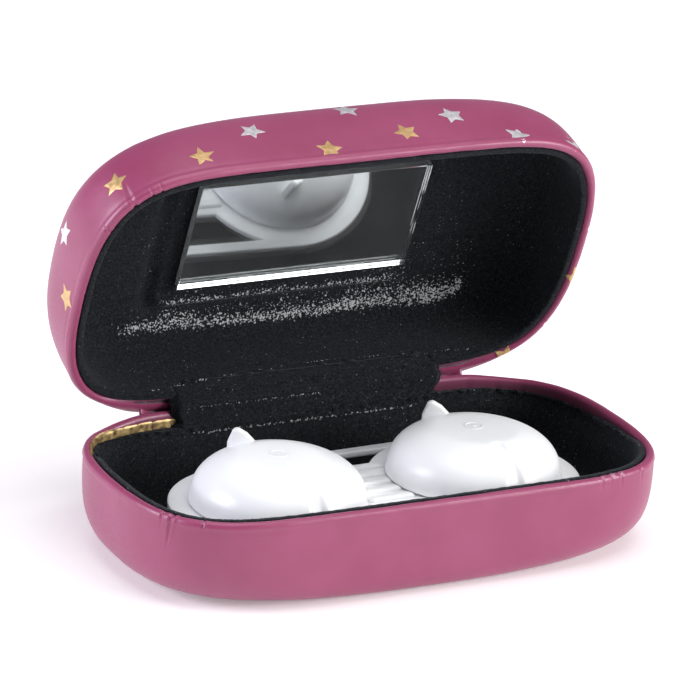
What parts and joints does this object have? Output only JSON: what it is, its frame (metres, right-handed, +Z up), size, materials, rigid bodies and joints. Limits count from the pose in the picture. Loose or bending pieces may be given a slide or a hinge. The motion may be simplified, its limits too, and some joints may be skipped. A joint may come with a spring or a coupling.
{
  "type": "contact lens case",
  "caption": "Hinged clamshell travel case covered in leatherette, with a mirror in its lid and a screw-cap lens holder lying in its flocked base.",
  "frame": {"origin": "centre of the base's flat underside, on the table", "axes": "+Z up, +X along the hinge to the right, +Y towards the hinge at the back"},
  "size_m": [0.095, 0.0644, 0.0688],
  "materials": {
    "leatherette": "satin",
    "printed_leatherette": "satin",
    "steel": "rolled",
    "flock": "flocked",
    "mirror": "polished",
    "foam_tape": "matt foam",
    "white_plastic": "gloss"
  },
  "bodies": {
    "base": {"base_cover": "leatherette", "base_shell": "steel", "base_lining": "flock", "hinge_leaf_base": "steel", "hinge_pin": "steel", "base_rivet_1": "steel", "base_rivet_2": "steel", "base_rivet_3": "steel", "snap_spring_left": "steel", "snap_spring_right": "steel", "hinge_lining_strip": "flock", "spine_cover": "leatherette"},
    "lid": {"lid_cover": "printed_leatherette", "lid_shell": "steel", "lid_lining": "flock", "mirror_glass": "mirror", "mirror_tape": "foam_tape", "hinge_leaf_lid": "steel", "lid_rivet_1": "steel", "lid_rivet_2": "steel", "lid_rivet_3": "steel"},
    "holder": {"lens_holder": "white_plastic"},
    "left_cap": {"left_cap": "white_plastic"},
    "right_cap": {"right_cap": "white_plastic"}
  },
  "joints": [
    {"name": "lid_hinge", "type": "hinge", "parent": "base", "child": "lid", "pos_m": [0, 0.02566, 0.0175], "axis": [1, 0, 0], "range_deg": [0, 69], "deforming": ["hinge_lining_strip", "spine_cover", "snap_spring_left", "snap_spring_right"]},
    {"name": "holder_lift", "type": "slide", "parent": "base", "child": "holder", "axis": [0, 0, 1], "range_m": [0, 0.04]},
    {"name": "left_cap_lift", "type": "slide", "parent": "holder", "child": "left_cap", "axis": [0, 0, 1], "range_m": [0, 0.04]},
    {"name": "right_cap_lift", "type": "slide", "parent": "holder", "child": "right_cap", "axis": [0, 0, 1], "range_m": [0, 0.04]}
  ]
}
